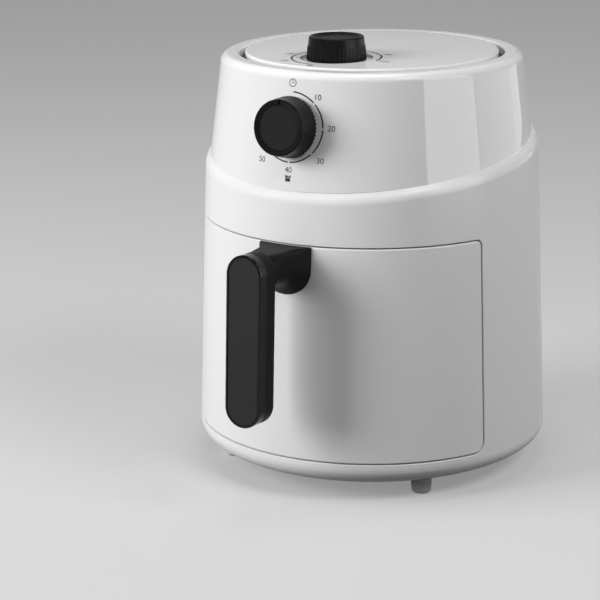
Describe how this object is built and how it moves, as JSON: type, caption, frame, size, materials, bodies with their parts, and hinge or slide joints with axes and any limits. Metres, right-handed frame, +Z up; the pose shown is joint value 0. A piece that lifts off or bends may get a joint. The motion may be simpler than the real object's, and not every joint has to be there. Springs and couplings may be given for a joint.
{
  "type": "air fryer",
  "caption": "Compact round air fryer with a flush pull-out drawer, a front handle, a front timer knob and a temperature knob on its top cover.",
  "frame": {"origin": "on the floor, on the axis of the round body, midway between the four feet", "axes": "+Z up, the drawer and its handle face -Y, +X to the right seen from the front"},
  "size_m": [0.25, 0.3024, 0.3086],
  "materials": {
    "white_gloss": "gloss",
    "white_satin": "satin gloss",
    "white_matt": "matt",
    "foot_white": "matt",
    "black_matt": "fine matt",
    "black_gloss": "gloss",
    "charcoal": "satin gloss",
    "grey_plastic": "matt",
    "pot_coating": "non-stick coating",
    "steel_sheet": "satin",
    "steel_part": "bright",
    "element_sheath": "dull",
    "fan_metal": "bright",
    "motor_paint": "satin",
    "control_case": "dull",
    "silicone": "matt",
    "cream_plastic": "matt"
  },
  "bodies": {
    "housing": {"lower_shell": "white_satin", "upper_housing": "white_gloss", "top_cover": "white_gloss", "base_tray": "white_matt", "feet": "foot_white", "base_screws": "steel_part", "chamber_liner": "steel_sheet", "drawer_rails": "steel_part", "heat_reflector": "steel_sheet", "exhaust_duct": "steel_sheet", "rear_vent": "white_matt", "cord_gland": "white_matt", "terminal_block": "cream_plastic", "heating_element": "element_sheath", "element_clips": "steel_part", "element_guard": "steel_part", "motor_bracket": "steel_sheet", "motor": "motor_paint", "motor_screws": "steel_part", "timer_body": "control_case", "timer_bell": "steel_part", "thermostat_body": "control_case", "thermostat_sensor": "steel_part", "thermal_fuse": "cream_plastic", "drawer_switch": "grey_plastic", "switch_bracket": "steel_sheet"},
    "drawer": {"drawer_front": "white_satin", "drawer_backing": "grey_plastic", "handle_body": "black_matt", "handle_bezel": "black_gloss", "handle_plate": "charcoal", "handle_screws": "steel_part", "fry_pot": "pot_coating", "pot_bracket": "steel_sheet"},
    "crisper": {"crisper_plate": "pot_coating", "crisper_bumpers": "silicone"},
    "timer_dial": {"timer_knob": "black_matt", "timer_knob_cap": "black_matt", "timer_shaft": "steel_part"},
    "temperature_dial": {"temperature_knob": "black_matt", "temperature_knob_cap": "black_matt", "thermostat_shaft": "steel_part"},
    "fan_rotor": {"convection_fan": "fan_metal", "cooling_fan": "fan_metal", "motor_shaft": "steel_part", "fan_nuts": "steel_part"},
    "plunger": {"switch_plunger": "cream_plastic"}
  },
  "joints": [
    {"name": "drawer_slide", "type": "slide", "parent": "housing", "child": "drawer", "axis": [0, -1, 0], "range_m": [0, 0.19]},
    {"name": "crisper_lift", "type": "slide", "parent": "drawer", "child": "crisper", "axis": [0, 0, 1], "range_m": [0, 0.09]},
    {"name": "timer_turn", "type": "hinge", "parent": "housing", "child": "timer_dial", "pos_m": [0, -0.10972, 0.256], "axis": [0, 0.992, -0.1262], "range_deg": [0, 270]},
    {"name": "temperature_turn", "type": "hinge", "parent": "housing", "child": "temperature_dial", "pos_m": [0, -0.049, 0.292], "axis": [0, 0, -1], "range_deg": [0, 270]},
    {"name": "fan_spin", "type": "hinge", "parent": "housing", "child": "fan_rotor", "pos_m": [0, 0, 0.205], "axis": [0, 0, 1], "continuous": true},
    {"name": "plunger_slide", "type": "slide", "parent": "housing", "child": "plunger", "axis": [0, -1, 0], "range_m": [0, 0.003]}
  ],
  "couplings": [
    {"joint": "plunger_slide", "follows": "drawer_slide", "ratio": 0.0157}
  ]
}
